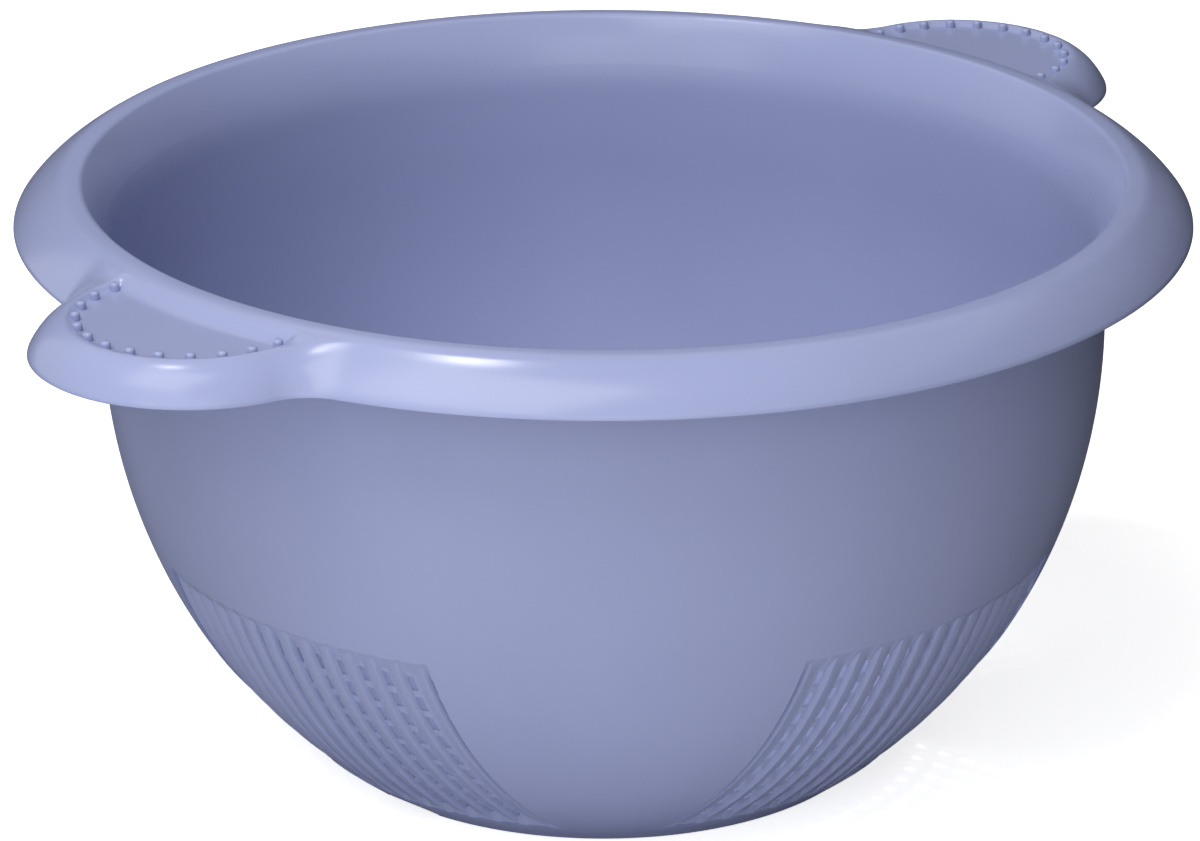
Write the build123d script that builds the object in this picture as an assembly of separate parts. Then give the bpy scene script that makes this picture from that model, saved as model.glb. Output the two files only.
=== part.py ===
from build123d import *
import math
import os

# Colander: a deep bowl moulded in one piece from stiff plastic, standing on a foot ring,
# with a sloping rim, two ear handles with grip studs, and four slotted drain panels.
# Lengths are in millimetres. +Z is up and the origin is on the ground under the bowl's centre.
# The handles lie along X. The moulding is cut at its natural borders into touching solids.

# Bowl: the outside is half an ellipse turned about Z up to the widest height, then upright.
bowl_radius = 120.0
bowl_depth_radius = 129.0
widest_height = 107.5
wall = 2.6

# Foot ring and floor
foot_radius = 66.5
foot_wall = 3.6
foot_height = 4.0
foot_band_height = 0.6
floor_thickness = 2.4
floor_edge_thickness = 1.2
notch_width = 17.0
notch_height = 3.3

# Drain panels: straight outer slots seen from above, crossed inside by level gaps.
panel_width = 89.0
panel_top_height = 62.5
slot_count = 15
slot_pitch = 6.0
slot_width = 1.8
slot_depth = 1.5
slot_top_height = 61.5
slot_bottom_height = 6.0
slot_top_ramp = 4.2
slot_bottom_ramp = 3.4
rib_inset = 0.15
rib_root_depth = 2.0
rib_top_height = 61.2
rib_bottom_height = 6.3
rib_seat = 0.6
gap_count = 9
gap_first_angle = 24.4
gap_pitch_angle = 3.05
gap_opening_angle = 2.1

# Rim: the crest height carries the shoulder, slope, thumb rests and hollows with it.
rim_base_height = 133.0
rim_radius = 140.0
lip_bottom_height = 134.0
lip_height = 0.8
lip_wall = 2.2
crest_height = 144.8
crest_radius = 126.0
crest_outer_radius = 130.2
crest_fall = 0.8
crest_roof = 3.0
crest_hollow_radius = 128.2
mouth_radius = 123.4
mouth_fall = 1.4
mouth_back_radius = 125.2
slope_radius = 135.8
slope_fall = 3.8
rim_hollow_radius = 133.6

# Ear handles
ear_centre_radius = 132.0
ear_radius = 37.5
ear_slope_radius = 33.8
ear_shoulder_radius = 27.2
ear_blend_radius = 14.0
ear_slope_blend_radius = 17.0
ear_shoulder_blend_radius = 22.0
ear_hollow_radius = 31.2
handle_half_angle = 25.0
dish_depth = 2.8
dish_roof = 2.2
dish_floor_radius = 27.8
dish_mouth_radius = 30.0
dish_inner_radius = 134.0
dish_inner_mouth_radius = 130.4

# Grip studs
stud_count = 13
stud_arc_angle = 180.0
stud_circle_radius = 26.4
stud_radius = 1.2
stud_height = 2.0
stud_rounding = 0.7

# How far a cutting body runs past the material that it cuts
overrun = 1.0

# Angles of a square corner and of a half turn, in degrees
square = 90.0
half_turn = 180.0

# Worked out from the sizes above
inner_radius = bowl_radius - wall
reach = rim_radius + ear_radius + ear_centre_radius
slot_field_half = (slot_count - 1) * slot_pitch / 2 + slot_width / 2
rib_width = slot_pitch - slot_width
base_split_height = foot_height + floor_edge_thickness
floor_top_height = foot_height + floor_thickness
mouth_height = crest_height - mouth_fall
shoulder_height = crest_height - crest_fall
slope_height = shoulder_height - slope_fall
dish_height = shoulder_height - dish_depth
rim_hollow_height = dish_height - dish_roof
crest_hollow_height = crest_height - crest_roof


def outside_radius(height, depth=0.0):
    """Radius of the bowl's surface at a height, at a depth below the outside."""
    fall = (widest_height - height) / (bowl_depth_radius - depth)
    return (bowl_radius - depth) * math.sqrt(1 - fall ** 2)


def bowl_disc(depth, bottom, top):
    """Solid slice of the bowl shape between two heights, at a depth below the outside."""
    radius = bowl_radius - depth
    rise = bowl_depth_radius - depth
    curve_top = min(top, widest_height)
    low_fall, high_fall = [math.degrees(math.asin((widest_height - height) / rise))
                           for height in (bottom, curve_top)]
    arc = EllipticalCenterArc((0, 0), radius, rise, start_angle=half_turn + high_fall,
                              arc_size=low_fall - high_fall)
    arc = Pos(0, 0, widest_height) * Rot(0, 0, half_turn) * Rot(square, 0, 0) * arc
    high, low = arc @ 0, arc @ 1
    border = Polyline(high, (high.X, 0, top), (0, 0, top)) if top > curve_top else Line(high, (0, 0, top))
    outline = make_face([arc, border, Polyline((0, 0, top), (0, 0, bottom), low)])
    return revolve(outline, axis=Axis.Z)


def bowl_skin(outer_depth, inner_depth, bottom, top):
    """Ring of the bowl shape between two depths and two heights."""
    return bowl_disc(outer_depth, bottom, top) - bowl_disc(inner_depth, bottom - overrun, top + overrun)


def slab(low, high):
    """Block between two corners."""
    size = [b - a for a, b in zip(low, high)]
    middle = [(a + b) / 2 for a, b in zip(low, high)]
    return Pos(*middle) * Box(*size)


def turned(points):
    """Solid turned about Z from an outline of radius and height."""
    outline = make_face(Polyline(*[(r, 0, z) for r, z in points], close=True))
    return revolve(outline, axis=Axis.Z)


def upper_wall():
    return bowl_skin(0, wall, panel_top_height, rim_base_height)


def lower_wall():
    return bowl_skin(0, wall, base_split_height, panel_top_height)


def plain_panel():
    """Plain wall in the quarter between two drain panels."""
    edge = panel_width / 2
    return lower_wall() & slab((edge, edge, 0), (reach, reach, reach))


def slot_band():
    """Ring between the slot heights whose ends slope from the surface to the slot depth."""
    top_floor = slot_top_height - slot_top_ramp
    bottom_floor = slot_bottom_height + slot_bottom_ramp

    def slope(surface_height, floor_height):
        """Two points on the sloped end, carried past the surface and past the slot floor."""
        r1 = outside_radius(surface_height)
        r2 = outside_radius(floor_height, slot_depth)
        dr, dz = r1 - r2, surface_height - floor_height
        return (r1 + dr, surface_height + dz), (r2 - dr, floor_height - dz)

    outer_top, inner_top = slope(slot_top_height, top_floor)
    outer_bottom, inner_bottom = slope(slot_bottom_height, bottom_floor)
    return turned([inner_bottom, outer_bottom, (reach, outer_bottom[1]), (reach, outer_top[1]),
                   outer_top, inner_top])


def gap_levels():
    """Bottom and top height of each level gap, in equal steps along the bowl's curve."""
    for index in range(gap_count):
        middle = gap_first_angle + index * gap_pitch_angle
        ends = [middle + side * gap_opening_angle / 2 for side in (1, -1)]
        yield [widest_height - bowl_depth_radius * math.sin(math.radians(end)) for end in ends]


def rib(centre):
    """One straight rib. Its face looks the way the panel looks and meets its outer neighbour."""
    side = 1 if centre > 0 else -1
    outer_edge = abs(centre) + rib_width / 2
    radius = bowl_radius - rib_inset
    half_length = math.sqrt(radius ** 2 - outer_edge ** 2)
    half_rise = (bowl_depth_radius - rib_inset) * half_length / radius
    disc = Plane.XZ.offset(-rib_width / 2) * Ellipse(half_length, half_rise)
    bar = extrude(disc, rib_width)
    bar = Pos(0, side * (outer_edge - rib_width / 2), widest_height) * bar
    return bar & slab((0, -reach, rib_bottom_height - rib_seat), (reach, reach, rib_top_height + rib_seat))


def drain_panel():
    """Slotted panel that looks along +X."""
    edge = panel_width / 2
    panel = lower_wall() & slab((0, -edge, 0), (reach, edge, reach))
    outer_skin = bowl_skin(-overrun, slot_depth, foot_height, panel_top_height)
    slots = outer_skin & slot_band() & slab((0, -slot_field_half, 0), (reach, slot_field_half, reach))
    first_rib = (2 - slot_count) * slot_pitch / 2
    rib_centres = [first_rib + index * slot_pitch for index in range(slot_count - 1)]
    rib_beds = [slab((0, y - rib_width / 2, rib_bottom_height), (reach, y + rib_width / 2, rib_top_height))
                for y in rib_centres]
    gaps = [slab((0, -slot_field_half, low), (reach, slot_field_half, high)) for low, high in gap_levels()]
    panel -= slots
    panel -= [outer_skin & bed for bed in rib_beds]
    panel -= gaps
    root = bowl_skin(-overrun, rib_root_depth, foot_height, panel_top_height)
    return panel + [rib(y) & root for y in rib_centres]


def bowl_floor():
    disc = bowl_disc(wall, foot_height, floor_top_height)
    return disc + bowl_disc(0, foot_height, base_split_height)


def foot_ring():
    """Ring under the floor with an arched notch below each handle."""
    inner = foot_radius - foot_wall
    band = Pos(0, 0, foot_height / 2) * Cylinder(foot_radius, foot_height)
    ring = band + bowl_disc(0, foot_band_height, foot_height)
    ring -= Pos(0, 0, foot_height / 2) * Cylinder(inner, foot_height)
    arch = extrude(Plane.YZ * Ellipse(notch_width / 2, notch_height), reach, both=True)
    return ring - arch


def rim_outline(radius, ear, blend, height):
    """Face bounded by the rim circle, two ear circles and the blends between them."""
    fx = ((radius + blend) ** 2 - (ear + blend) ** 2 + ear_centre_radius ** 2) / (2 * ear_centre_radius)
    fy = math.sqrt((radius + blend) ** 2 - fx ** 2)
    on_rim = (fx * radius / (radius + blend), fy * radius / (radius + blend))
    share = ear / (ear + blend)
    on_ear = (ear_centre_radius + (fx - ear_centre_radius) * share, fy * share)
    to_corner = math.atan2(on_rim[1] + on_ear[1] - 2 * fy, on_rim[0] + on_ear[0] - 2 * fx)
    middle = (fx + blend * math.cos(to_corner), fy + blend * math.sin(to_corner))

    def at(point, x_side=1, y_side=1):
        return (x_side * point[0], y_side * point[1], height)

    tip = (ear_centre_radius + ear, 0)
    top = (0, radius)
    arcs = [
        ThreePointArc(at(on_ear, 1, -1), at(tip), at(on_ear)),
        ThreePointArc(at(on_ear), at(middle), at(on_rim)),
        ThreePointArc(at(on_rim), at(top), at(on_rim, -1)),
        ThreePointArc(at(on_rim, -1), at(middle, -1), at(on_ear, -1)),
        ThreePointArc(at(on_ear, -1), at(tip, -1), at(on_ear, -1, -1)),
        ThreePointArc(at(on_ear, -1, -1), at(middle, -1, -1), at(on_rim, -1, -1)),
        ThreePointArc(at(on_rim, -1, -1), at(top, 1, -1), at(on_rim, 1, -1)),
        ThreePointArc(at(on_rim, 1, -1), at(middle, 1, -1), at(on_ear, 1, -1)),
    ]
    return make_face(arcs)


def crest_ring():
    """Rounded crest on a mouth that leans outwards above the bowl's wall."""
    with BuildPart() as ring:
        with BuildSketch(Plane.XZ):
            with BuildLine():
                Line((bowl_radius, rim_base_height), (inner_radius, rim_base_height))
                Line((inner_radius, rim_base_height), (mouth_radius, mouth_height))
                TangentArc((crest_radius, crest_height), (mouth_radius, mouth_height),
                           tangent=(-1, 0))
                TangentArc((crest_radius, crest_height), (crest_outer_radius, shoulder_height),
                           tangent=(1, 0))
                Polyline((crest_outer_radius, shoulder_height), (crest_outer_radius, crest_hollow_height),
                         (mouth_back_radius, crest_hollow_height), (bowl_radius, rim_base_height))
            make_face()
        revolve(axis=Axis.Z)
    return ring.part


def rim_and_ears():
    """The whole rim with both ears, hollow from below."""
    lip_top = lip_bottom_height + lip_height
    low = rim_outline(rim_radius, ear_radius, ear_blend_radius, lip_top)
    middle = rim_outline(slope_radius, ear_slope_radius, ear_slope_blend_radius, slope_height)
    high = rim_outline(crest_outer_radius, ear_shoulder_radius, ear_shoulder_blend_radius, shoulder_height)
    body = loft([low, middle, high], ruled=True) + extrude(low, -lip_height, dir=(0, 0, 1))
    body -= Pos(0, 0, crest_height) * Cylinder(crest_radius, 2 * crest_height)
    hollow_low = rim_outline(rim_radius - lip_wall, ear_radius - lip_wall,
                             ear_blend_radius + lip_wall, lip_bottom_height)
    hollow_high = rim_outline(rim_hollow_radius, ear_hollow_radius,
                              ear_shoulder_blend_radius, rim_hollow_height)
    hollow = loft([hollow_low, hollow_high], ruled=True)
    crest_hollow = turned([(0, rim_hollow_height - overrun),
                           (rim_hollow_radius, rim_hollow_height - overrun),
                           (rim_hollow_radius, rim_hollow_height),
                           (crest_hollow_radius, crest_hollow_height),
                           (0, crest_hollow_height)])
    pillar = turned([(0, 0), (bowl_radius, 0), (bowl_radius, rim_base_height),
                     (mouth_back_radius, crest_hollow_height), (0, crest_hollow_height)])
    rim = body + crest_ring()
    rim -= hollow - pillar
    rim -= crest_hollow - pillar
    return rim - [dish(side) for side in (1, -1)]


def dish(side):
    """Shallow thumb rest sunk in the top of one ear, outside the crest."""
    steps = (dish_depth + overrun) / dish_depth
    mouth = dish_floor_radius + (dish_mouth_radius - dish_floor_radius) * steps
    bowl_side = dish_inner_radius + (dish_inner_mouth_radius - dish_inner_radius) * steps
    middle = dish_height + (dish_depth + overrun) / 2
    sunk = Pos(side * ear_centre_radius, 0, middle) * Cone(dish_floor_radius, mouth, dish_depth + overrun)
    return sunk - Pos(0, 0, middle) * Cone(dish_inner_radius, bowl_side, dish_depth + overrun)


def handle_wedge(side):
    """Upright wedge from the bowl's axis that holds one handle's share of the rim."""
    spread = reach * math.tan(math.radians(handle_half_angle))
    face = make_face(Polyline((0, 0, 0), (side * reach, -spread, 0), (side * reach, spread, 0), close=True))
    return extrude(face, crest_height + overrun, dir=(0, 0, 1))


def grip_studs(side):
    """Rounded studs in a half circle on one ear's thumb rest."""
    pin = Cylinder(stud_radius, stud_height, align=(Align.CENTER, Align.CENTER, Align.MIN))
    pin = fillet(pin.edges().group_by(Axis.Z)[-1], stud_rounding)
    studs = []
    for index in range(stud_count):
        angle = math.radians(index * stud_arc_angle / (stud_count - 1) - stud_arc_angle / 2)
        x = side * (ear_centre_radius + stud_circle_radius * math.cos(angle))
        studs.append(Pos(x, stud_circle_radius * math.sin(angle), dish_height) * pin)
    return Compound(studs)


def main():
    os.makedirs("parts", exist_ok=True)
    nodes = {"upper_wall": upper_wall(), "bowl_floor": bowl_floor(), "foot_ring": foot_ring()}

    panel = drain_panel()
    for turn, place in enumerate(("right", "back", "left", "front")):
        nodes["drain_panel_" + place] = Rot(0, 0, turn * square) * panel

    quarter = plain_panel()
    for turn, place in enumerate(("back_right", "back_left", "front_left", "front_right")):
        nodes["plain_panel_" + place] = Rot(0, 0, turn * square) * quarter

    rim = rim_and_ears()
    for side, place in ((-1, "left"), (1, "right")):
        nodes["handle_" + place] = rim & handle_wedge(side)
        nodes["grip_studs_" + place] = grip_studs(side)
    arcs = rim - [handle_wedge(side) for side in (1, -1)]
    front, back = sorted(arcs.solids(), key=lambda solid: solid.center().Y)
    nodes["rim_front"] = front
    nodes["rim_back"] = back

    for name, shape in nodes.items():
        export_step(shape, "parts/" + name + ".step")
        print(name, len(shape.solids()), round(shape.volume, 1), shape.is_valid)


main()
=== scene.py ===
import math

import bpy
import numpy as np
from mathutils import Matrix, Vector


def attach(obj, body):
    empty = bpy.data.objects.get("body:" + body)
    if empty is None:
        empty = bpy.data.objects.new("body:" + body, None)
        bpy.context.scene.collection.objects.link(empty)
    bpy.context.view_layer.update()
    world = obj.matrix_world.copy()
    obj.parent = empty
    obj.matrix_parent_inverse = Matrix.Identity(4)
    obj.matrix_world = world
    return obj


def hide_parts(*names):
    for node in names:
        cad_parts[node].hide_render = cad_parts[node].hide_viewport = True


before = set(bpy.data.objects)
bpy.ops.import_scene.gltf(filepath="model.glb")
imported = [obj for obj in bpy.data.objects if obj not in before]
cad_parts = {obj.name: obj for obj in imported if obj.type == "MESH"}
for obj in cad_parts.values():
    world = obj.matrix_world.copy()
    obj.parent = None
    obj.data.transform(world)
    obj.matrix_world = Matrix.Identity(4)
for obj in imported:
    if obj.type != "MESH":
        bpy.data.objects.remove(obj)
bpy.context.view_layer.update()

# Colander: a deep bowl moulded in one piece from stiff lavender plastic. Metres throughout.
# The handles lie along X, +Z is up, and the origin is on the ground under the bowl's centre.

MM = 0.001

# Bowl: the outside is half an ellipse turned about Z up to the widest height, then upright
BOWL_RADIUS = 120 * MM
BOWL_DEPTH = 129 * MM
WIDEST_HEIGHT = 107.5 * MM
WALL = 2.6 * MM
FLOOR_JOIN_HEIGHT = 5.2 * MM
PANEL_TOP_HEIGHT = 62.5 * MM
RIM_BASE_HEIGHT = 133 * MM

# Foot ring and floor
FOOT_RADIUS = 66.5 * MM
FOOT_WALL = 3.6 * MM
FOOT_HEIGHT = 4 * MM
FLOOR_TOP_HEIGHT = 6.4 * MM
FLOOR_FILLET = 2.4 * MM
NOTCH_HALF = 8.5 * MM
NOTCH_HEIGHT = 3.3 * MM

# Drain panels
PANEL_HALF = 44.5 * MM
SLOT_COUNT = 15
SLOT_PITCH = 6 * MM
SLOT_HALF = 0.9 * MM
SLOT_DEPTH = 1.5 * MM
SLOT_TOP = 61.5 * MM
SLOT_TOP_FLOOR = 57.3 * MM
SLOT_BOTTOM = 6 * MM
SLOT_BOTTOM_FLOOR = 9.4 * MM
RIB_INSET = 0.3 * MM
RIB_ROOT = 2.0 * MM
RIB_TOP = 61.2 * MM
RIB_BOTTOM = 6.3 * MM
GAP_COUNT = 9
GAP_FIRST_ANGLE = 24.4
GAP_PITCH_ANGLE = 3.05
GAP_OPENING_ANGLE = 2.1

# Rim: the mouth leans out to a rounded crest, and a slope falls from the shoulder to the lip
RIM_RADIUS = 140 * MM
LIP_BOTTOM = 134 * MM
LIP_TOP = 134.8 * MM
LIP_WALL = 2.2 * MM
LIP_ROUND = 0.7 * MM
LEAN_START = 126 * MM
LEAN_OUTER = 0.8 * MM
MOUTH_RADIUS = 123.2 * MM
MOUTH_HEIGHT = 143.8 * MM
CREST_RADIUS = 124.8 * MM
CREST_HEIGHT = 144.8 * MM
SHOULDER_RADIUS = 129.3 * MM
SHOULDER_HEIGHT = 144.2 * MM
SHOULDER_ROUND = 1.0 * MM
SLOPE_RADIUS = 135.4 * MM
SLOPE_HEIGHT = 139.8 * MM
RIM_HOLLOW_RADIUS = 133.6 * MM
RIM_HOLLOW_HEIGHT = 139 * MM
CREST_HOLLOW_RADIUS = 128.2 * MM
CREST_HOLLOW_HEIGHT = 141.8 * MM
MOUTH_BACK_RADIUS = 125.2 * MM

# Ear handles
EAR_CENTRE = 132 * MM
EAR_RADIUS = 37.5 * MM
EAR_SLOPE_RADIUS = 33.8 * MM
EAR_RIDGE_RADIUS = 29.2 * MM
EAR_RIDGE_HEIGHT = 142.9 * MM
EAR_BLEND = 14 * MM
EAR_SLOPE_BLEND = 17 * MM
EAR_RIDGE_BLEND = 22 * MM
EAR_HOLLOW_RADIUS = 31.2 * MM
HANDLE_HALF_ANGLE = math.radians(25)
DISH_HEIGHT = 141.6 * MM
DISH_FLOOR_RADIUS = 26.4 * MM
DISH_MOUTH_RADIUS = 28.9 * MM
DISH_INNER_RADIUS = 134.6 * MM

# Grip studs
STUD_COUNT = 13
STUD_CIRCLE = 26.6 * MM
STUD_RADIUS = 1.15 * MM
STUD_HEIGHT = 1.9 * MM

# Rounded edges and the rows of the grids beside them
RIB_ROUND = np.array([0, 0.2, 0.32, 0.6]) * MM
RIB_ROUND_DROP = np.array([1.3, 0.3, 0.1, 0]) * MM
RIB_TOP_ROUND = np.array([0.9, 0.55, 0.25, 0.08, 0]) * MM
RIB_TOP_DROP = 0.5 * MM
PANEL_FRAME_STEPS = np.array([0, 0.15, 0.5]) * MM
PANEL_FRAME_EDGE = 0.4 * MM
PANEL_END_ROWS = np.array([7.2, 8.2, 55.9, 56.6, 62, 62.3]) * MM
WALL_END_STEPS = np.array([0, 0.25, 0.6]) * MM
WALL_ROW_STEP = 2 * MM
WALL_RIM_STEP = 0.4 * MM
FLOOR_FILLET_RISE = 1.9 * MM
LIP_EDGE = 0.25 * MM
HOLLOW_BEND = 0.6 * MM
WALL_COLUMNS = 360
FLOOR_COLUMNS = 240
STUD_COLUMNS = 20

# Angle from which an edge is drawn sharp, and half the width of the narrow rows that end each gap
SHARP_ANGLE = math.radians(38)
STEP = 0.02 * MM
ROOT = "root"

# Numbers that mark a place across a drain panel that lies on no rib
IN_SLOT = -1
ON_PLAIN_WALL = -2

# Plastic: colour, how much its tone and its polish vary, and the depth of its grain
LAVENDER = (0.295, 0.33, 0.535)
TONE_CHANGE = 0.035
MORE_POLISH = 0.04
LESS_POLISH = 0.05
GRAIN_DEPTH = 0.02 * MM
REFRACTION = 1.46
SHINE = 0.28

# Light of the world, glow of the floor to the camera, and area lamps: name, place, size and power
AMBIENT = 0.28
FLOOR_SIZE = 6
FLOOR_DROP = 0.2 * MM
FLOOR_GLOW = 0.75
PAPER = (0.9, 0.9, 0.9, 1)
CARD_BLACK = (0.02, 0.02, 0.02, 1)
LAMP_AIM = (0, 0, 80 * MM)
LAMPS = (
    ("key", (-1.3, -0.8, 0.55), (1.5, 1.5), 13.2),
    ("high", (-0.72, -0.1, 1.45), (0.9, 0.9), 14),
    ("top", (-0.162, 0.297, 1.54), (0.14, 0.14), 4.2),
)

# Dark cards beside, behind and under the bowl, out of the camera's sight, which keep its edges deep in
# tone. Each has a place, a tilt and a turn in degrees, a size, and whether it also holds back soft light.
CARDS = (
    ("studio_card_right", (0.19, -0.2, 0.18), 90, 43.3, (0.9, 0.36), True),
    ("studio_card_far", (0.62, 0.05, 0.3), 90, 110, (0.9, 0.9), False),
    ("studio_card_back", (0.3, 0.62, 0.3), 90, 160, (0.7, 0.7), False),
    ("studio_card_left", (-0.23, 0.3, 0.07), 90, 43.3, (0.8, 0.14), True),
    ("studio_card_ground", (0, 0, -0.0001), 0, 0, (3, 3), False),
)

# Camera, fitted to the photograph: where it looks, how far away, from which side and how high
AIM = (-0.55 * MM, 0.58 * MM, 80.05 * MM)
DISTANCE = 1339.1 * MM
SIDE_ANGLE = math.radians(223.3)
RISE_ANGLE = math.radians(21.21)
LENS = 166.04
SENSOR_WIDTH = 36
CLIP_START = 0.05
CLIP_END = 20


def mesh_piece(name, points, faces, material, *nodes):
    """One smooth piece from arrays of corners and four-sided faces. It stands for the named nodes."""
    mesh = bpy.data.meshes.new(name)
    corners = np.ascontiguousarray(points, dtype=np.float32)
    mesh.from_pydata(corners, [], faces)
    mesh.polygons.foreach_set("use_smooth", np.ones(len(mesh.polygons), dtype=bool))
    mesh.set_sharp_from_angle(angle=SHARP_ANGLE)
    mesh.materials.append(material)
    mesh.validate()
    mesh.update()
    piece = bpy.data.objects.new(name, mesh)
    bpy.context.scene.collection.objects.link(piece)
    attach(piece, ROOT)
    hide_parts(*nodes)
    return piece


def quads(index):
    """Faces between neighbouring rows and columns of a grid of corner numbers."""
    ring = np.stack([index[:-1, :-1], index[1:, :-1], index[1:, 1:], index[:-1, 1:]], axis=-1)
    return ring.reshape(-1, 4)


def two_sided(outer, inner, keep):
    """Closed wall between two grids of the same size. Cells outside keep are holes, and every
    edge between a kept cell and a hole or the border gets a face from one grid to the other."""
    columns, rows = outer.shape[:2]
    front = np.arange(columns * rows).reshape(columns, rows)
    back = front + columns * rows
    kept = keep.reshape(-1)
    faces = [quads(front)[kept], quads(back)[kept][:, ::-1]]
    framed = np.pad(keep, 1)
    low, high = framed[:-1, 1:-1], framed[1:, 1:-1]
    for chosen, turned in ((high & ~low, False), (low & ~high, True)):
        i, j = np.nonzero(chosen)
        side = np.stack([front[i, j], front[i, j + 1], back[i, j + 1], back[i, j]], axis=-1)
        faces.append(side[:, ::-1] if turned else side)
    low, high = framed[1:-1, :-1], framed[1:-1, 1:]
    for chosen, turned in ((high & ~low, True), (low & ~high, False)):
        i, j = np.nonzero(chosen)
        side = np.stack([front[i, j], front[i + 1, j], back[i + 1, j], back[i, j]], axis=-1)
        faces.append(side[:, ::-1] if turned else side)
    points = np.concatenate([outer.reshape(-1, 3), inner.reshape(-1, 3)])
    return used_only(points, np.concatenate(faces))


def used_only(points, faces):
    """Corners that no face uses are dropped and the others renumbered."""
    used, numbers = np.unique(faces, return_inverse=True)
    return points[used], numbers.reshape(faces.shape)


def turned_about_z(points, quarter):
    """Corners turned about Z by a number of quarter turns."""
    c, s = ((1, 0), (0, 1), (-1, 0), (0, -1))[quarter % 4]
    x, y = points[..., 0], points[..., 1]
    return np.stack([c * x - s * y, s * x + c * y, points[..., 2]], axis=-1)


def bowl_radius(height, depth=0.0):
    """Radius at a height: half an ellipse below the widest height and upright above it."""
    fall = np.clip(WIDEST_HEIGHT - height, 0, None) / (BOWL_DEPTH - depth)
    return (BOWL_RADIUS - depth) * np.sqrt(1 - fall ** 2)


def mouth_lean(height):
    """How far the inside leans out above the straight wall: a square of the height over its start."""
    share = np.clip(height - LEAN_START, 0, None) / (MOUTH_HEIGHT - LEAN_START)
    return (MOUTH_RADIUS - BOWL_RADIUS + WALL) * share ** 2


def gap_heights():
    """Bottom and top height of each level gap, in equal steps along the bowl's curve."""
    middle = GAP_FIRST_ANGLE + np.arange(GAP_COUNT) * GAP_PITCH_ANGLE
    ends = np.stack([middle + GAP_OPENING_ANGLE / 2, middle - GAP_OPENING_ANGLE / 2], axis=-1)
    return WIDEST_HEIGHT - BOWL_DEPTH * np.sin(np.radians(ends))


def panel_heights():
    """Grid heights that every wall piece below the panel top shares, with a narrow row at each end."""
    gaps = gap_heights()
    steps = np.stack([gaps[:, 0] - STEP, gaps[:, 0] + STEP, gaps.mean(axis=1),
                      gaps[:, 1] - STEP, gaps[:, 1] + STEP], axis=-1).reshape(-1)
    between = (gaps[:-1, 0] + gaps[1:, 1]) / 2
    ends = [FLOOR_JOIN_HEIGHT, SLOT_BOTTOM, RIB_BOTTOM, RIB_BOTTOM + 4 * STEP, PANEL_TOP_HEIGHT]
    rises = np.linspace(SLOT_TOP_FLOOR, SLOT_TOP, 9)
    tops = RIB_TOP - RIB_TOP_ROUND
    return np.unique(np.round(np.concatenate([steps, between, ends, PANEL_END_ROWS, rises, tops]), 7))


def slot_radius(height):
    """Radius of the slot floors. Both ends rise in a straight slope to the surface."""
    floor = bowl_radius(height, SLOT_DEPTH)
    slope_heights = np.array([SLOT_BOTTOM, SLOT_BOTTOM_FLOOR, SLOT_TOP_FLOOR, SLOT_TOP])
    slope_radii = bowl_radius(slope_heights, np.array([0, SLOT_DEPTH, SLOT_DEPTH, 0]))
    sloped = np.interp(height, slope_heights, slope_radii)
    on_slope = (height < SLOT_BOTTOM_FLOOR) | (height > SLOT_TOP_FLOOR)
    outside = (height <= SLOT_BOTTOM) | (height >= SLOT_TOP)
    return np.where(outside, bowl_radius(height), np.where(on_slope, sloped, floor))


def rib_columns():
    """Places across a panel: for each one its distance from the middle, the number of its rib or the
    mark of a slot or of the plain wall, and how far the rib's rounded edge has dropped there."""
    half = SLOT_PITCH / 2 - SLOT_HALF
    offsets = np.concatenate([RIB_ROUND - half, [0], (half - RIB_ROUND)[::-1]])
    drops = np.concatenate([RIB_ROUND_DROP, [0], RIB_ROUND_DROP[::-1]])
    centres = (np.arange(SLOT_COUNT - 1) - (SLOT_COUNT - 2) / 2) * SLOT_PITCH
    places = (centres[:, None] + offsets).reshape(-1)
    ribs = np.repeat(np.arange(SLOT_COUNT - 1), len(offsets))
    drop = np.tile(drops, SLOT_COUNT - 1)
    slot_centres = (np.arange(SLOT_COUNT) - (SLOT_COUNT - 1) / 2) * SLOT_PITCH
    floors = (slot_centres[:, None] + np.array([-SLOT_HALF + STEP, 0, SLOT_HALF - STEP])).reshape(-1)
    field = slot_centres[-1] + SLOT_HALF
    margin = np.concatenate([field + PANEL_FRAME_STEPS, [PANEL_HALF - PANEL_FRAME_EDGE, PANEL_HALF]])
    plain = np.concatenate([-margin, margin])
    v = np.concatenate([places, floors, plain])
    kind = np.concatenate([ribs, np.full(len(floors), IN_SLOT), np.full(len(plain), ON_PLAIN_WALL)])
    drop = np.concatenate([drop, np.zeros(len(floors) + len(plain))])
    order = np.argsort(v, kind="stable")
    return v[order], kind[order], drop[order]


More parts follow.
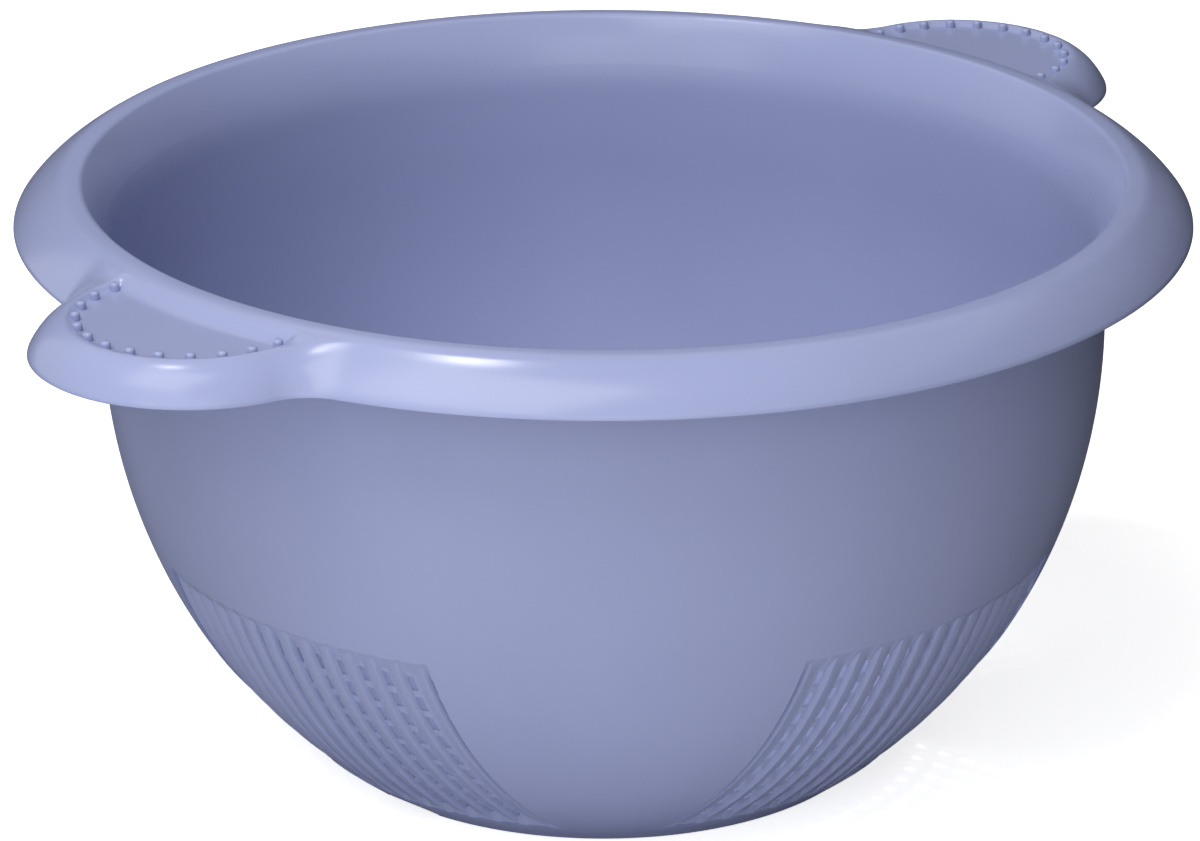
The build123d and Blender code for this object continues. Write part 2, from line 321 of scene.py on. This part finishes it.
def drain_panel():
    """Panel that looks along +X. Its outside is a height field over a level grid of v across the panel
    and z up it: x = sqrt(r(z)^2 - v^2) on the wall and the slot floors, and the same x all over a rib's
    face as the wall has at the rib's outer edge. Inside, x = sqrt(r(z)^2 - v^2) at the wall's depth."""
    v, kind, drop = rib_columns()
    z = panel_heights()
    place, height = np.meshgrid(v, z, indexing="ij")
    wall_x = np.sqrt(bowl_radius(height) ** 2 - place ** 2)
    slot_x = np.sqrt(slot_radius(height) ** 2 - place ** 2)
    centre = (kind - (SLOT_COUNT - 2) / 2) * SLOT_PITCH
    outer_edge = np.abs(centre) + SLOT_PITCH / 2 - SLOT_HALF
    face_x = np.sqrt(bowl_radius(height, RIB_INSET) ** 2 - outer_edge[:, None] ** 2)
    top_drop = RIB_TOP_DROP * np.clip(1 - (RIB_TOP - z) / RIB_TOP_ROUND[0], 0, 1) ** 2
    rib_x = np.maximum(face_x - drop[:, None] - top_drop, slot_x - STEP)
    in_rib = (z > RIB_BOTTOM) & (z < RIB_TOP - STEP)
    between_ribs = np.where((kind == IN_SLOT)[:, None], slot_x, wall_x)
    outer_x = np.where((kind >= 0)[:, None] & in_rib, rib_x, between_ribs)
    gaps = gap_heights()
    in_gap = ((z[:, None] >= gaps[:, 0]) & (z[:, None] <= gaps[:, 1])).any(axis=1)
    in_field = (kind != ON_PLAIN_WALL)[:, None]
    depth = np.where(in_field & in_gap, RIB_ROOT, WALL)
    inner_x = np.sqrt(bowl_radius(height, depth) ** 2 - place ** 2)
    cell_in_slot = (kind[:-1] == IN_SLOT) & (kind[1:] == IN_SLOT)
    middle = (z[1:] + z[:-1]) / 2
    cell_in_gap = ((middle[:, None] > gaps[:, 0]) & (middle[:, None] < gaps[:, 1])).any(axis=1)
    keep = ~(cell_in_slot[:, None] & cell_in_gap)
    outer = np.stack([outer_x, place, height], axis=-1)
    inner = np.stack([inner_x, place, height], axis=-1)
    return two_sided(outer, inner, keep)


def plain_panel():
    """Quarter of the wall between two panels: r(z) turned from the plane y = edge to the plane x = edge,
    so a corner is r (cos a, sin a) with a from asin(edge / r) to acos(edge / r)."""
    z = panel_heights()
    share = np.concatenate([[0, 0.008], np.linspace(0.05, 0.95, 25), [0.992, 1]])

    def skin(depth):
        r = bowl_radius(z, depth)
        low = np.arcsin(PANEL_HALF / r)
        high = np.arccos(PANEL_HALF / r)
        angle = low + (high - low) * share[:, None]
        return np.stack([r * np.cos(angle), r * np.sin(angle), np.broadcast_to(z, angle.shape)], axis=-1)

    return two_sided(skin(0), skin(WALL), np.ones((len(share) - 1, len(z) - 1), dtype=bool))


def ring_faces(columns, rows):
    """Faces of a grid that closes on itself both round the axis and round its profile."""
    index = np.arange(columns * rows).reshape(columns, rows)
    index = np.concatenate([index, index[:1]])
    return quads(np.concatenate([index, index[:, :1]], axis=1))


def upper_wall():
    """Ring of the bowl's wall: r(z) (cos a, sin a), outside upwards and inside back down."""
    z = np.concatenate([PANEL_TOP_HEIGHT + WALL_END_STEPS,
                        np.linspace(PANEL_TOP_HEIGHT + WALL_ROW_STEP, WIDEST_HEIGHT, 26),
                        np.linspace(WIDEST_HEIGHT + WALL_ROW_STEP, RIM_BASE_HEIGHT - WALL_RIM_STEP, 14),
                        [RIM_BASE_HEIGHT]])
    lean = np.clip((z - WIDEST_HEIGHT) / (RIM_BASE_HEIGHT - WIDEST_HEIGHT), 0, 1) ** 2 * LEAN_OUTER
    profile_r = np.concatenate([bowl_radius(z) + lean, (bowl_radius(z, WALL) + mouth_lean(z))[::-1]])
    profile_z = np.concatenate([z, z[::-1]])
    angle = np.linspace(0, 2 * np.pi, WALL_COLUMNS, endpoint=False)[:, None]
    points = np.stack([profile_r * np.cos(angle), profile_r * np.sin(angle),
                       np.broadcast_to(profile_z, (WALL_COLUMNS, len(profile_z)))], axis=-1)
    return points.reshape(-1, 3), ring_faces(WALL_COLUMNS, len(profile_z))


def bezier(a, b, c, shares):
    """Points on the curve that leaves a towards b and reaches c from b."""
    t = np.asarray(shares)[:, None]
    return (1 - t) ** 2 * np.asarray(a) + 2 * t * (1 - t) * np.asarray(b) + t ** 2 * np.asarray(c)


def revolved(profile, columns):
    """Profile of radius and height turned about Z. Its first and last points lie on the axis."""
    angle = np.linspace(0, 2 * np.pi, columns, endpoint=False)[:, None]
    body = profile[1:-1]
    grid = np.stack([body[:, 0] * np.cos(angle), body[:, 0] * np.sin(angle),
                     np.broadcast_to(body[:, 1], (columns, len(body)))], axis=-1)
    index = np.arange(columns * len(body)).reshape(columns, len(body))
    index = np.concatenate([index, index[:1]])
    first, last = columns * len(body), columns * len(body) + 1
    caps = [np.stack([index[:-1, 0], np.full(columns, first), index[1:, 0]], axis=-1),
            np.stack([index[1:, -1], np.full(columns, last), index[:-1, -1]], axis=-1)]
    poles = np.array([[0, 0, profile[0, 1]], [0, 0, profile[-1, 1]]])
    faces = quads(index).tolist() + caps[0].tolist() + caps[1].tolist()
    return np.concatenate([grid.reshape(-1, 3), poles]), faces


def bowl_floor():
    """Level disc with a soft corner up to the wall: a profile of radius and height turned about Z."""
    z = FLOOR_TOP_HEIGHT + np.linspace(0, FLOOR_FILLET_RISE, 5)
    under = np.array([[0, FOOT_HEIGHT], [FOOT_RADIUS - FOOT_WALL, FOOT_HEIGHT],
                      [bowl_radius(FOOT_HEIGHT), FOOT_HEIGHT],
                      [bowl_radius(FLOOR_JOIN_HEIGHT), FLOOR_JOIN_HEIGHT],
                      [bowl_radius(FLOOR_JOIN_HEIGHT, WALL), FLOOR_JOIN_HEIGHT]])
    side = np.stack([bowl_radius(z, WALL), z], axis=-1)
    corner = bezier(side[-1], side[0], side[0] - [FLOOR_FILLET, 0], np.linspace(0.1, 1, 8))
    top = np.array([[side[0, 0] * share, FLOOR_TOP_HEIGHT] for share in (0.9, 0.6, 0.3, 0)])
    return revolved(np.concatenate([under, side, corner, top]), FLOOR_COLUMNS)


def foot_ring():
    """Ring with an arched notch under each handle. Round it, y = s at the notch and r sin(a) elsewhere.
    Its bottom is at h sqrt(1 - (y / half)^2) in the notch and on the ground elsewhere."""
    notch = np.sin(np.linspace(-np.pi / 2, np.pi / 2, 25))[1:-1] * NOTCH_HALF
    share = np.linspace(0, 1, 121)
    up = np.array([0, 0.12, 0.4, 0.7, 1.0])

    def skin(radius):
        start = np.arcsin(NOTCH_HALF / radius)
        arc = start + (np.pi - 2 * start) * share
        gate = np.arcsin(notch / radius)
        return np.concatenate([gate, arc, np.pi + gate, np.pi + arc])

    arch = NOTCH_HEIGHT * np.sqrt(1 - (notch / NOTCH_HALF) ** 2)
    half = np.concatenate([arch, np.zeros(len(share))])
    bottom = np.concatenate([half, half])[:, None]
    z = bottom + (FOOT_HEIGHT - bottom) * up
    rows = []
    for radius, heights in ((FOOT_RADIUS, z), (FOOT_RADIUS - FOOT_WALL, z[:, ::-1])):
        angle = skin(radius)[:, None]
        r = np.maximum(radius, bowl_radius(heights)) if radius == FOOT_RADIUS else np.full(z.shape, radius)
        rows.append(np.stack([r * np.cos(angle), r * np.sin(angle), heights], axis=-1))
    points = np.concatenate(rows, axis=1)
    return points.reshape(-1, 3), ring_faces(points.shape[0], points.shape[1])


def outline(radius, ear, blend, ear_count, blend_count, rim_count):
    """Half of one handle's outline seen from above, from the ear's tip to the handle's border on the rim:
    an arc round the ear's centre, a hollow arc of the blend radius, then an arc of the rim."""
    fx = ((radius + blend) ** 2 - (ear + blend) ** 2 + EAR_CENTRE ** 2) / (2 * EAR_CENTRE)
    fy = math.sqrt((radius + blend) ** 2 - fx ** 2)
    to_ear = math.atan2(fy, fx - EAR_CENTRE)
    to_rim = math.atan2(fy, fx)
    a = np.linspace(0, to_ear, ear_count)
    b = np.linspace(to_ear + np.pi, to_rim + np.pi, blend_count + 1)[1:]
    c = np.linspace(to_rim, HANDLE_HALF_ANGLE, rim_count + 1)[1:]
    x = np.concatenate([EAR_CENTRE + ear * np.cos(a), fx + blend * np.cos(b), radius * np.cos(c)])
    y = np.concatenate([ear * np.sin(a), fy + blend * np.sin(b), radius * np.sin(c)])
    return np.stack([x, y], axis=-1)


def handle_plan(radius, ear, blend):
    """Whole outline of the right handle, from one border on the rim round the ear to the other."""
    half = outline(radius, ear, blend, 34, 14, 8)
    return np.concatenate([half[:0:-1] * [1, -1], half])


def rim_plan(radius):
    """Arc of the rim behind the bowl, between the handles' borders."""
    angle = np.linspace(HANDLE_HALF_ANGLE, np.pi - HANDLE_HALF_ANGLE, 151)
    return radius * np.stack([np.cos(angle), np.sin(angle)], axis=-1)


def crest_height(r):
    """Height of the crest outside its highest line: level at first, then a bend down to the shoulder."""
    share = np.clip((r - CREST_RADIUS) / (SHOULDER_RADIUS - CREST_RADIUS), 0, 1)
    return CREST_HEIGHT - (CREST_HEIGHT - SHOULDER_HEIGHT) * share ** 3


def smooth(share):
    """Soft step from 0 to 1."""
    t = np.clip(share, 0, 1)
    return t * t * (3 - 2 * t)


def ridge_height(r):
    """Height of the ridge at a radius: the shoulder's on the rim, and lower round the ears."""
    share = smooth((r - SHOULDER_RADIUS) / (DISH_INNER_RADIUS - SHOULDER_RADIUS))
    return SHOULDER_HEIGHT - (SHOULDER_HEIGHT - EAR_RIDGE_HEIGHT) * share


def top_height(plan):
    """Height of the rim's top at a place: the crest, and the thumb rest sunk softly in each ear."""
    r = np.hypot(plan[..., 0], plan[..., 1])
    rho = np.hypot(np.abs(plan[..., 0]) - EAR_CENTRE, plan[..., 1])
    from_bowl = smooth((r - SHOULDER_RADIUS) / (DISH_INNER_RADIUS - SHOULDER_RADIUS))
    from_edge = smooth((DISH_MOUTH_RADIUS - rho) / (DISH_MOUTH_RADIUS - DISH_FLOOR_RADIUS))
    level = ridge_height(r)
    sunk = level - (level - DISH_HEIGHT) * from_bowl * from_edge
    return np.where(r <= SHOULDER_RADIUS, crest_height(r), sunk)


def with_height(plan, height):
    """Plan points lifted to a height."""
    return np.concatenate([plan, np.broadcast_to(height, plan.shape[:1])[:, None]], axis=-1)


def rim_rows(plan):
    """Rows of the rim's closed section along a plan: mouth, crest, top, shoulder, slope, lip, hollow.
    plan(radius, ear, blend) gives the outline's places; each row is a curve between such outlines."""
    skirt = plan(RIM_RADIUS, EAR_RADIUS, EAR_BLEND)
    middle = plan(SLOPE_RADIUS, EAR_SLOPE_RADIUS, EAR_SLOPE_BLEND)
    ridge = plan(SHOULDER_RADIUS, EAR_RIDGE_RADIUS, EAR_RIDGE_BLEND)
    lip_back = plan(RIM_RADIUS - LIP_WALL, EAR_RADIUS - LIP_WALL, EAR_BLEND + LIP_WALL)
    ceiling = plan(RIM_HOLLOW_RADIUS, EAR_HOLLOW_RADIUS, EAR_RIDGE_BLEND)
    facing = ridge / np.linalg.norm(ridge, axis=-1, keepdims=True)

    def circle(radius, height):
        return with_height(facing * radius, height)

    mouth_shares = np.array([0, 0.04, 0.25, 0.5, 0.75, 0.95])
    mouth_z = RIM_BASE_HEIGHT + (MOUTH_HEIGHT - RIM_BASE_HEIGHT) * mouth_shares
    rows = [circle(BOWL_RADIUS - WALL + mouth_lean(z), z) for z in mouth_z]
    run, rise = CREST_RADIUS - MOUTH_RADIUS, CREST_HEIGHT - MOUTH_HEIGHT
    bend = (run ** 2 + rise ** 2) / (2 * rise)
    start = math.acos(-run / bend)
    rows += [circle(CREST_RADIUS + bend * math.cos(a), CREST_HEIGHT - bend + bend * math.sin(a))
             for a in np.linspace(start, np.pi / 2, 6)]
    crest = facing * CREST_RADIUS
    width = np.linalg.norm(ridge - crest, axis=-1, keepdims=True)
    edge = ridge + (crest - ridge) * (SHOULDER_ROUND / width)
    for t in np.linspace(0, 1, 27)[1:]:
        place = crest + (edge - crest) * t
        rows.append(with_height(place, top_height(place)))
    a, b = rows[-1], with_height(ridge, ridge_height(np.linalg.norm(ridge, axis=-1)))
    foot = with_height(skirt, LIP_TOP)
    bulge = 2 * with_height(middle, SLOPE_HEIGHT) - (b + foot) / 2
    first = (bulge - b) / np.linalg.norm(bulge - b, axis=-1, keepdims=True)
    last = (foot - bulge) / np.linalg.norm(foot - bulge, axis=-1, keepdims=True)
    c, end = b + first * SHOULDER_ROUND, foot - last * LIP_ROUND
    rows += [(1 - t) ** 2 * a + 2 * t * (1 - t) * b + t ** 2 * c for t in (0.2, 0.4, 0.6, 0.8, 1)]
    rows += [(1 - t) ** 2 * c + 2 * t * (1 - t) * bulge + t ** 2 * end for t in np.linspace(0, 1, 11)[1:]]
    down = with_height(skirt, LIP_BOTTOM + LIP_EDGE)
    rows += [(1 - t) ** 2 * end + 2 * t * (1 - t) * foot + t ** 2 * down for t in (0.25, 0.5, 0.75, 1)]
    under = with_height(skirt + (lip_back - skirt) * 0.15, LIP_BOTTOM)
    rows += [under, with_height(lip_back, LIP_BOTTOM)]
    roof = with_height(ceiling, RIM_HOLLOW_HEIGHT)
    rows += [rows[-1] + (roof - rows[-1]) * t for t in (0.05, 0.5, 0.95, 1)]
    rows += [circle(RIM_HOLLOW_RADIUS - HOLLOW_BEND, RIM_HOLLOW_HEIGHT),
             circle(CREST_HOLLOW_RADIUS, CREST_HOLLOW_HEIGHT),
             circle(MOUTH_BACK_RADIUS, CREST_HOLLOW_HEIGHT),
             circle(BOWL_RADIUS + LEAN_OUTER, RIM_BASE_HEIGHT)]
    return np.stack(rows, axis=1)


def capped(points):
    """Closed bar: a grid closed round its section, with a flat face on its first and last section."""
    columns, rows = points.shape[:2]
    index = np.arange(columns * rows).reshape(columns, rows)
    side = quads(np.concatenate([index, index[:, :1]], axis=1)).tolist()
    return points.reshape(-1, 3), side + [index[0].tolist(), index[-1, ::-1].tolist()]


def mirrored(points, faces):
    """Piece turned half round Z."""
    return points * np.array([-1, -1, 1]), faces


def grip_studs():
    """Thirteen domes in a half circle round the right ear's centre. A dome is a profile of radius and
    height, an upright side and a quarter of an ellipse on it, turned about its own axis."""
    turn = np.linspace(0, 2 * np.pi, STUD_COLUMNS, endpoint=False)[:, None]
    side = np.linspace(0, np.pi / 2, 6)[:-1]
    r = np.concatenate([[STUD_RADIUS], STUD_RADIUS * (0.35 + 0.65 * np.cos(side))])
    z = np.concatenate([[0], STUD_HEIGHT * (0.62 + 0.38 * np.sin(side))])
    ring = np.stack([r * np.cos(turn), r * np.sin(turn), np.broadcast_to(z, (STUD_COLUMNS, len(z)))], axis=-1)
    dome = np.concatenate([ring.reshape(-1, 3), [[0, 0, 0], [0, 0, STUD_HEIGHT]]])
    index = np.arange(STUD_COLUMNS * len(z)).reshape(STUD_COLUMNS, len(z))
    index = np.concatenate([index, index[:1]])
    low, high = STUD_COLUMNS * len(z), STUD_COLUMNS * len(z) + 1
    sides = quads(index)
    foot = np.stack([index[1:, 0], index[:-1, 0], np.full(STUD_COLUMNS, low)], axis=-1)
    cap = np.stack([index[:-1, -1], index[1:, -1], np.full(STUD_COLUMNS, high)], axis=-1)
    angle = np.linspace(-np.pi / 2, np.pi / 2, STUD_COUNT)
    centre = np.stack([EAR_CENTRE + STUD_CIRCLE * np.cos(angle), STUD_CIRCLE * np.sin(angle),
                       np.full(STUD_COUNT, DISH_HEIGHT)], axis=-1)
    points = (dome + centre[:, None]).reshape(-1, 3)
    shift = (np.arange(STUD_COUNT) * len(dome))[:, None, None]
    faces = [((group + shift).reshape(-1, group.shape[1])).tolist() for group in (sides, foot, cap)]
    return points, faces[0] + faces[1] + faces[2]


def noise(tree, place, scale, detail):
    """Noise in the piece's own space, as a value."""
    node = tree.nodes.new("ShaderNodeTexNoise")
    node.inputs["Scale"].default_value = scale
    node.inputs["Detail"].default_value = detail
    tree.links.new(place.outputs["Object"], node.inputs["Vector"])
    return node.outputs["Fac"]


def plastic(name, colour, roughness, grain):
    """Glossy coloured plastic: faint cloudy tone, uneven polish and a fine grain from object space."""
    material = bpy.data.materials.new(name)
    material.use_nodes = True
    tree = material.node_tree
    shader = tree.nodes["Principled BSDF"]
    shader.inputs["IOR"].default_value = REFRACTION
    shader.inputs["Specular IOR Level"].default_value = SHINE
    place = tree.nodes.new("ShaderNodeTexCoord")
    tone = tree.nodes.new("ShaderNodeValToRGB")
    deep, pale = tone.color_ramp.elements
    deep.position, pale.position = 0.3, 0.7
    deep.color = (*[c * (1 - TONE_CHANGE) for c in colour], 1)
    pale.color = (*[c * (1 + TONE_CHANGE) for c in colour], 1)
    tree.links.new(noise(tree, place, 14, 3), tone.inputs["Fac"])
    tree.links.new(tone.outputs["Color"], shader.inputs["Base Color"])
    polish = tree.nodes.new("ShaderNodeMapRange")
    polish.inputs["To Min"].default_value = roughness - MORE_POLISH
    polish.inputs["To Max"].default_value = roughness + LESS_POLISH
    tree.links.new(noise(tree, place, 60, 4), polish.inputs["Value"])
    tree.links.new(polish.outputs["Result"], shader.inputs["Roughness"])
    bump = tree.nodes.new("ShaderNodeBump")
    bump.inputs["Strength"].default_value = grain
    bump.inputs["Distance"].default_value = GRAIN_DEPTH
    tree.links.new(noise(tree, place, 900, 2), bump.inputs["Height"])
    tree.links.new(bump.outputs["Normal"], shader.inputs["Normal"])
    return material


def build_colander():
    """All seventeen parts of the moulding."""
    wall_finish = plastic("lavender_wall", LAVENDER, 0.34, 0.2)
    rim_finish = plastic("lavender_rim", LAVENDER, 0.19, 0.08)
    ear_finish = plastic("lavender_ear", LAVENDER, 0.22, 0.08)
    panel_finish = plastic("lavender_drain", LAVENDER, 0.34, 0.15)
    foot_finish = plastic("lavender_foot", LAVENDER, 0.45, 0.5)
    mesh_piece("wall_upper", *upper_wall(), wall_finish, "upper_wall")
    mesh_piece("floor", *bowl_floor(), wall_finish, "bowl_floor")
    mesh_piece("foot", *foot_ring(), foot_finish, "foot_ring")
    points, faces = drain_panel()
    for turn, side in enumerate(("right", "back", "left", "front")):
        mesh_piece("drain_" + side, turned_about_z(points, turn), faces, panel_finish, "drain_panel_" + side)
    points, faces = plain_panel()
    for turn, side in enumerate(("back_right", "back_left", "front_left", "front_right")):
        mesh_piece("plain_" + side, turned_about_z(points, turn), faces, wall_finish, "plain_panel_" + side)
    ear = capped(rim_rows(handle_plan))
    arc = capped(rim_rows(lambda radius, ear_radius, blend: rim_plan(radius)))
    studs = grip_studs()
    mesh_piece("ear_right", *ear, ear_finish, "handle_right")
    mesh_piece("ear_left", *mirrored(*ear), ear_finish, "handle_left")
    mesh_piece("rim_arc_back", *arc, rim_finish, "rim_back")
    mesh_piece("rim_arc_front", *mirrored(*arc), rim_finish, "rim_front")
    mesh_piece("studs_right", *studs, ear_finish, "grip_studs_right")
    mesh_piece("studs_left", *mirrored(*studs), ear_finish, "grip_studs_left")


def highest(tree, *values):
    """Highest of several light path values."""
    best = values[0]
    for value in values[1:]:
        node = tree.nodes.new("ShaderNodeMath")
        node.operation = "MAXIMUM"
        tree.links.new(best, node.inputs[0])
        tree.links.new(value, node.inputs[1])
        best = node.outputs[0]
    return best


def paper_floor():
    """Pale floor that takes the shadow and glows a little to the camera, so that it joins the white."""
    bpy.ops.mesh.primitive_plane_add(size=FLOOR_SIZE, location=(0, 0, -FLOOR_DROP))
    floor = bpy.context.object
    floor.name = "studio_floor"
    pale = bpy.data.materials.new("studio_paper")
    pale.use_nodes = True
    tree = pale.node_tree
    shader = tree.nodes["Principled BSDF"]
    shader.inputs["Base Color"].default_value = PAPER
    shader.inputs["Roughness"].default_value = 0.9
    glow = tree.nodes.new("ShaderNodeEmission")
    both = tree.nodes.new("ShaderNodeAddShader")
    sight = tree.nodes.new("ShaderNodeLightPath")
    seen = tree.nodes.new("ShaderNodeMath")
    seen.operation = "MULTIPLY"
    seen.inputs[1].default_value = FLOOR_GLOW
    tree.links.new(sight.outputs["Is Camera Ray"], seen.inputs[0])
    tree.links.new(seen.outputs[0], glow.inputs["Strength"])
    tree.links.new(shader.outputs[0], both.inputs[0])
    tree.links.new(glow.outputs[0], both.inputs[1])
    tree.links.new(both.outputs[0], tree.nodes["Material Output"].inputs["Surface"])
    floor.data.materials.append(pale)


def dark_cards():
    """Black cards that the camera doesn't see."""
    dark = bpy.data.materials.new("studio_card_black")
    dark.use_nodes = True
    shader = dark.node_tree.nodes["Principled BSDF"]
    shader.inputs["Base Color"].default_value = CARD_BLACK
    shader.inputs["Roughness"].default_value = 1
    for name, place, tilt, turn, size, shades in CARDS:
        bpy.ops.mesh.primitive_plane_add(size=1, location=place)
        card = bpy.context.object
        card.name = name
        card.scale = (*size, 1)
        card.rotation_euler = (math.radians(tilt), 0, math.radians(turn))
        card.visible_camera = False
        card.visible_diffuse = shades
        card.visible_shadow = shades
        card.data.materials.append(dark)


def white_world():
    """World that is full white to the camera, in reflections and through glass, and soft light elsewhere."""
    world = bpy.data.worlds.new("studio_world")
    bpy.context.scene.world = world
    world.use_nodes = True
    tree = world.node_tree
    background = tree.nodes["Background"]
    background.inputs["Color"].default_value = (1, 1, 1, 1)
    path = tree.nodes.new("ShaderNodeLightPath")
    level = tree.nodes.new("ShaderNodeMapRange")
    level.inputs["To Min"].default_value = AMBIENT
    seen = highest(tree, path.outputs["Is Camera Ray"], path.outputs["Is Glossy Ray"],
                   path.outputs["Is Transmission Ray"])
    tree.links.new(seen, level.inputs["Value"])
    tree.links.new(level.outputs["Result"], background.inputs["Strength"])


def soft_lamps():
    """Area lamps that all face the bowl."""
    for name, place, size, power in LAMPS:
        lamp = bpy.data.lights.new(name, "AREA")
        lamp.shape = "RECTANGLE"
        lamp.size, lamp.size_y = size
        lamp.energy = power
        holder = bpy.data.objects.new(name, lamp)
        holder.location = place
        aim = Vector(LAMP_AIM) - holder.location
        holder.rotation_euler = aim.to_track_quat("-Z", "Y").to_euler()
        bpy.context.scene.collection.objects.link(holder)


def camera():
    """Camera on the line from the aim point at the fitted side angle and rise angle."""
    data = bpy.data.cameras.new("camera")
    data.sensor_width = SENSOR_WIDTH
    data.lens = LENS
    data.clip_start, data.clip_end = CLIP_START, CLIP_END
    holder = bpy.data.objects.new("camera", data)
    back = Vector((math.cos(SIDE_ANGLE) * math.cos(RISE_ANGLE), math.sin(SIDE_ANGLE) * math.cos(RISE_ANGLE),
                   math.sin(RISE_ANGLE)))
    holder.location = Vector(AIM) + back * DISTANCE
    holder.rotation_euler = (-back).to_track_quat("-Z", "Y").to_euler()
    bpy.context.scene.collection.objects.link(holder)
    bpy.context.scene.camera = holder


build_colander()
paper_floor()
dark_cards()
white_world()
soft_lamps()
camera()
bpy.context.scene.view_settings.view_transform = "Standard"
